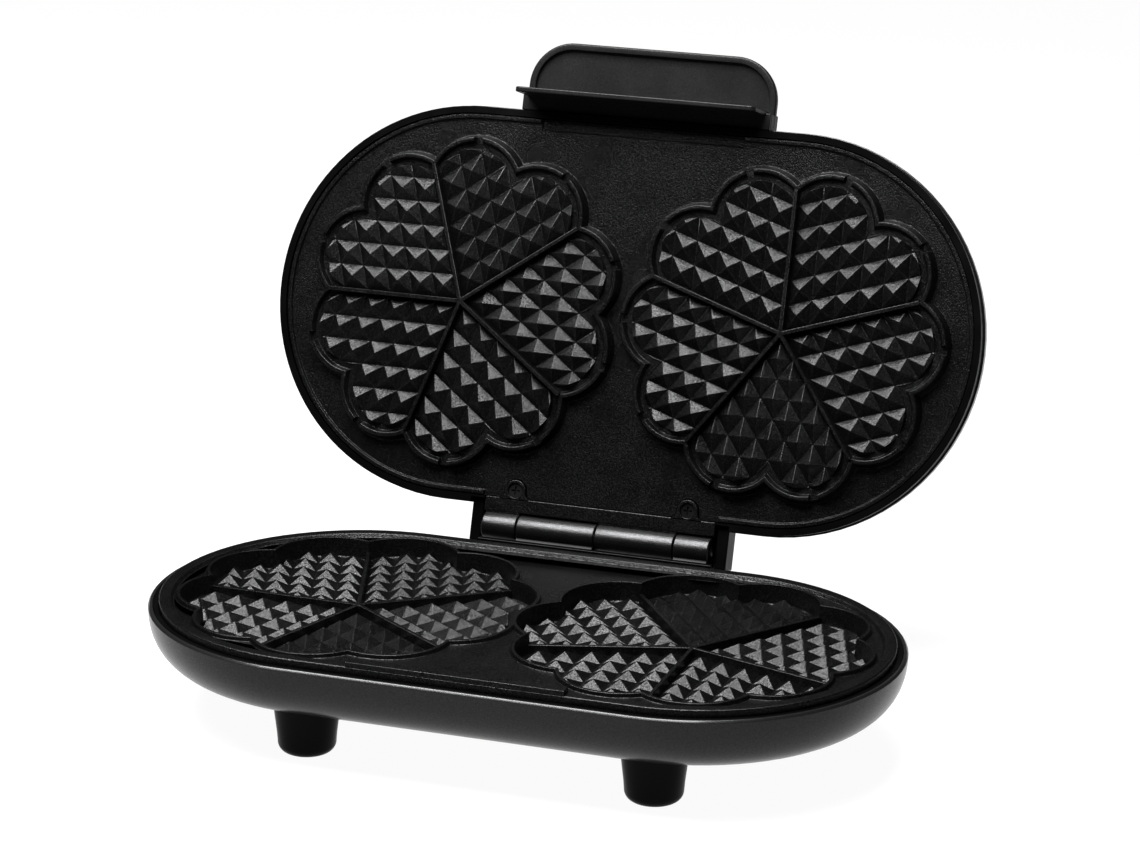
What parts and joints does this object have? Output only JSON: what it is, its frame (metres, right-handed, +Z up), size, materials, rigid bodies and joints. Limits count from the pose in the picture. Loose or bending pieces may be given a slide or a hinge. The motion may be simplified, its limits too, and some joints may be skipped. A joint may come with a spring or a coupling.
{
  "type": "waffle maker",
  "caption": "Electric waffle maker with two flower-shaped moulds side by side, a hinged lid that rests open, a D-shaped front grip and four short feet.",
  "frame": {"origin": "on the table, under the middle of the base, between the left and right feet", "axes": "+X to the right along the length of the base, +Y to the rear where the hinge is, +Z up; the handle is at the front, towards -Y when the lid is closed; the row is stored with the lid resting open"},
  "size_m": [0.3672, 0.3027, 0.2911],
  "materials": {
    "satin_grey": "satin grey paint with a fine metallic grain",
    "black_plastic": "satin black moulding",
    "grip_plastic": "satin black moulding with a fine grain",
    "nonstick": "cast plate under a fine-grained black non-stick coat",
    "heater_steel": "heat-dulled steel tube",
    "bright_steel": "zinc-plated steel",
    "reflector_steel": "aluminised sheet steel",
    "ceramic_body": "glazed ceramic",
    "wire_sleeve": "silicone sleeve",
    "foot_rubber": "matt black rubber",
    "foot_plastic": "satin black moulding",
    "hinge_metal": "satin dark grey metallic coat",
    "dark_screw": "blackened steel",
    "red_lens": "translucent red",
    "green_lens": "translucent green",
    "circuit_board": "bare circuit board"
  },
  "bodies": {
    "base": {"base_housing": "satin_grey", "base_rim": "black_plastic", "lower_plate": "nonstick", "lower_element": "heater_steel", "lower_element_clips": "bright_steel", "lower_reflector": "reflector_steel", "lower_reflector_screws": "bright_steel", "thermostat": "ceramic_body", "base_fuse": "ceramic_body", "terminal_block": "ceramic_body", "base_wiring": "wire_sleeve", "cord_gland": "foot_rubber", "foot_front_left": "foot_plastic", "foot_front_right": "foot_plastic", "foot_rear_left": "foot_plastic", "foot_rear_right": "foot_plastic", "foot_screws": "bright_steel", "base_screws": "bright_steel", "base_hinge_bracket": "hinge_metal", "hinge_bracket_screws": "bright_steel", "hinge_pin": "bright_steel"},
    "lid": {"lid_shell": "satin_grey", "lid_rim": "black_plastic", "upper_plate": "nonstick", "upper_element": "heater_steel", "upper_element_clips": "bright_steel", "upper_reflector": "reflector_steel", "upper_reflector_screws": "bright_steel", "lid_fuse": "ceramic_body", "lid_wiring": "wire_sleeve", "lid_hinge_bracket": "hinge_metal", "hinge_screws": "dark_screw", "hinge_hood": "black_plastic", "handle": "grip_plastic", "handle_screws": "bright_steel", "power_lamp": "red_lens", "ready_lamp": "green_lens", "lamp_board": "circuit_board"}
  },
  "joints": [
    {"name": "lid_hinge", "type": "hinge", "parent": "base", "child": "lid", "pos_m": [0, 0.11, 0.0604], "axis": [1, 0, 0], "range_deg": [0, 108]}
  ]
}
